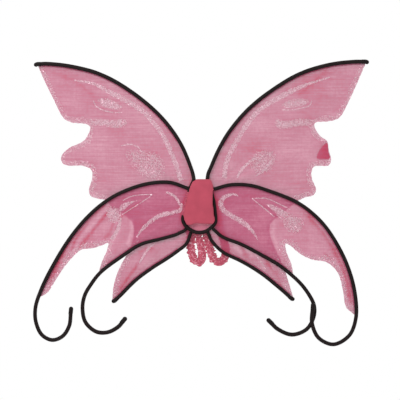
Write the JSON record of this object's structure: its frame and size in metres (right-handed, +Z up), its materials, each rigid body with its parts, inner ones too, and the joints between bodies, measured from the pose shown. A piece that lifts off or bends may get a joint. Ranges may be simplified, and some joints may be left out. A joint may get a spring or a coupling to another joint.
{
  "type": "costume fairy wings",
  "caption": "Sheer wired fabric wings with curled lower wires, fixed to a padded back piece with ruched elastic shoulder straps.",
  "frame": {"origin": "on the flat back face of the back cushion, where it rests on the wearer's back, behind the middle of the pad", "axes": "+Z up as worn, +X to the right seen from the outer face, +Y towards the wearer's back"},
  "size_m": [0.81, 0.0314, 0.6877],
  "materials": {
    "organza": "sheer pink organza, slight sheen, printed glitter",
    "pad_satin": "matt pink stretch satin over padding",
    "wire_sleeve": "black satin plastic sleeve",
    "core_steel": "bare drawn steel",
    "foam": "soft open foam",
    "board": "stiff fibre board",
    "tape": "cloth tape",
    "ruched_strap": "gathered pink stretch fabric with frilled edges",
    "elastic": "woven white elastic",
    "end_cap": "black soft vinyl"
  },
  "bodies": {
    "hub": {"pad_front_cover": "pad_satin", "pad_foam": "foam", "backing_board": "board", "back_cushion": "pad_satin", "hub_loop_wire": "wire_sleeve", "root_cloth": "organza", "root_tape_upper": "tape", "root_tape_lower": "tape", "left_outer_root": "core_steel", "left_inner_root": "wire_sleeve", "left_tail_root": "wire_sleeve", "left_upper_strap_tab": "ruched_strap", "left_lower_strap_tab": "ruched_strap", "right_outer_root": "core_steel", "right_inner_root": "wire_sleeve", "right_tail_root": "wire_sleeve", "right_upper_strap_tab": "ruched_strap", "right_lower_strap_tab": "ruched_strap"},
    "left_wing": {"left_upper_wire": "wire_sleeve", "left_outer_wire": "wire_sleeve", "left_inner_wire": "wire_sleeve", "left_tail_wire": "wire_sleeve", "left_upper_tip_cap": "end_cap", "left_outer_curl_cap": "end_cap", "left_inner_curl_cap": "end_cap", "left_tail_tip_cap": "end_cap", "left_back_sheet": "organza", "left_front_sheet": "organza"},
    "right_wing": {"right_upper_wire": "wire_sleeve", "right_outer_wire": "wire_sleeve", "right_inner_wire": "wire_sleeve", "right_tail_wire": "wire_sleeve", "right_upper_tip_cap": "end_cap", "right_outer_curl_cap": "end_cap", "right_inner_curl_cap": "end_cap", "right_tail_tip_cap": "end_cap", "right_back_sheet": "organza", "right_front_sheet": "organza"},
    "left_strap": {"left_strap_casing": "ruched_strap", "left_strap_elastic": "elastic"},
    "right_strap": {"right_strap_casing": "ruched_strap", "right_strap_elastic": "elastic"}
  },
  "joints": [
    {"name": "left_wing_fold", "type": "hinge", "parent": "hub", "child": "left_wing", "pos_m": [-0.024, -0.0156, 0.09], "axis": [0.2228, 0, 0.9749], "range_deg": [0, 75]},
    {"name": "right_wing_fold", "type": "hinge", "parent": "hub", "child": "right_wing", "pos_m": [0.026, -0.0156, 0.09], "axis": [0.2184, 0, -0.9759], "range_deg": [0, 75]},
    {"name": "left_strap_swing", "type": "hinge", "parent": "hub", "child": "left_strap", "pos_m": [-0.002, -0.0005, 0.044], "axis": [0, 0, -1], "range_deg": [0, 60]},
    {"name": "right_strap_swing", "type": "hinge", "parent": "hub", "child": "right_strap", "pos_m": [0.002, -0.0005, 0.044], "axis": [0, 0, 1], "range_deg": [0, 60]}
  ]
}
